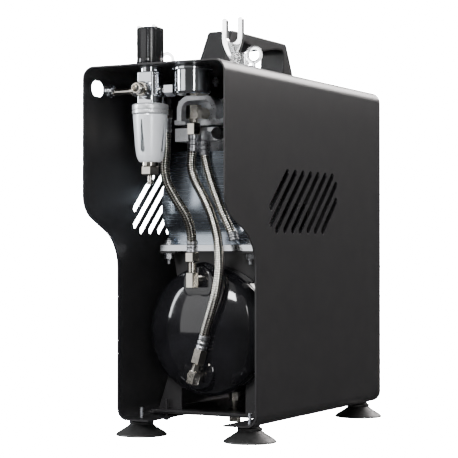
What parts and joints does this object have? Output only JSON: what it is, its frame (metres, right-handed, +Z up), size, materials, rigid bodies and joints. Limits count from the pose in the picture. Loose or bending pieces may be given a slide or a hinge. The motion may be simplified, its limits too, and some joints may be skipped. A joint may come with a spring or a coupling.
{
  "type": "airbrush compressor",
  "caption": "Portable airbrush compressor: an open-fronted sheet-metal case with a carrying handle, a lying air tank, piston pump, a regulator with filter bowl and gauge, and airbrush holders.",
  "frame": {"origin": "on the plane the feet stand on, under the middle of the bounding box", "axes": "+Z up, -Y towards the open front with the regulator, +X to the right seen from the front"},
  "size_m": [0.1712, 0.3616, 0.4033],
  "materials": {
    "case_black": "satin powder coat",
    "plastic_black": "satin moulded plastic",
    "gloss_black": "gloss moulded plastic",
    "rubber_black": "smooth rubber",
    "chrome": "polished",
    "steel": "brushed",
    "nickel": "nickel plated, bright",
    "aluminium": "satin cast",
    "tank_black": "gloss enamel",
    "clear": "clear moulded acrylic",
    "bowl_clear": "clear",
    "guard": "satin silver",
    "white": "matte",
    "needle": "matte red"
  },
  "bodies": {
    "machine": {"case_wrap": "case_black", "base_plate": "case_black", "rear_panel": "case_black", "foot_front_left": "rubber_black", "foot_front_right": "rubber_black", "foot_rear_left": "rubber_black", "foot_rear_right": "rubber_black", "carry_handle": "plastic_black", "handle_bolt_front": "steel", "handle_bolt_rear": "steel", "regulator_body": "chrome", "lock_ring": "plastic_black", "front_outlet": "nickel", "side_outlet": "nickel", "side_coupler": "chrome", "bowl_collar": "aluminium", "bowl_guard": "guard", "filter_bowl": "bowl_clear", "filter_element": "white", "drain_body": "nickel", "gauge_case": "chrome", "gauge_dial": "white", "gauge_lens": "bowl_clear", "gauge_nut": "chrome", "airbrush_holder_left": "clear", "airbrush_holder_right": "clear", "air_tank": "tank_black", "tank_saddle_front": "case_black", "tank_saddle_rear": "case_black", "upper_frame": "case_black", "tank_elbow_top": "nickel", "tank_elbow_lower": "nickel", "hose_outlet": "steel", "hose_feed": "steel", "hose_unloader": "steel", "machine_plate": "steel", "isolator_bolt_front_left": "steel", "isolator_bolt_front_right": "steel", "isolator_bolt_rear_left": "steel", "isolator_bolt_rear_right": "steel", "motor_cowl": "steel", "crankcase": "aluminium", "cylinder_barrel": "aluminium", "valve_plate": "aluminium", "cylinder_head": "aluminium", "head_elbow": "nickel", "intake_silencer": "plastic_black", "motor_stator": "steel", "pressure_switch": "plastic_black", "switch_frame": "plastic_black", "power_inlet": "plastic_black"},
    "knob_screw": {"adjusting_screw": "steel"},
    "knob": {"pressure_knob": "gloss_black"},
    "needle": {"gauge_needle": "needle"},
    "drain_button": {"drain_stem": "nickel"},
    "drain_cock": {"tank_drain_cock": "nickel"},
    "rotor": {"crankshaft": "steel", "cooling_fan": "plastic_black"},
    "rod": {"connecting_rod": "aluminium"},
    "rocker": {"power_rocker": "plastic_black"}
  },
  "joints": [
    {"name": "knob_turn", "type": "hinge", "parent": "machine", "child": "knob_screw", "pos_m": [-0.017, -0.1548, 0.357], "axis": [0, 0, 1], "range_deg": [-540, 540]},
    {"name": "knob_lift", "type": "slide", "parent": "knob_screw", "child": "knob", "axis": [0, 0, 1], "range_m": [0, 0.003]},
    {"name": "needle_swing", "type": "hinge", "parent": "machine", "child": "needle", "pos_m": [0.027, -0.1518, 0.345], "axis": [0, 0, 1], "range_deg": [-270, 0], "stiffness_Nm_per_rad": 0.0005},
    {"name": "drain_press", "type": "slide", "parent": "machine", "child": "drain_button", "axis": [0, 0, 1], "range_m": [0, 0.003], "stiffness_N_per_m": 300, "springref_m": -0.001},
    {"name": "drain_cock_turn", "type": "hinge", "parent": "machine", "child": "drain_cock", "pos_m": [0, -0.0178, 0.017], "axis": [0, 0, 1], "range_deg": [0, 540]},
    {"name": "motor_spin", "type": "hinge", "parent": "machine", "child": "rotor", "pos_m": [-0.011, 0.0002, 0.23], "axis": [0, 1, 0], "continuous": true},
    {"name": "rod_swing", "type": "hinge", "parent": "rotor", "child": "rod", "pos_m": [-0.011, -0.0453, 0.233], "axis": [0, 1, 0], "continuous": true},
    {"name": "power_rock", "type": "hinge", "parent": "machine", "child": "rocker", "pos_m": [-0.026, 0.1732, 0.305], "axis": [1, 0, 0], "range_deg": [-18, 0]}
  ],
  "couplings": [
    {"joint": "rod_swing", "follows": "motor_spin", "ratio": -1}
  ]
}
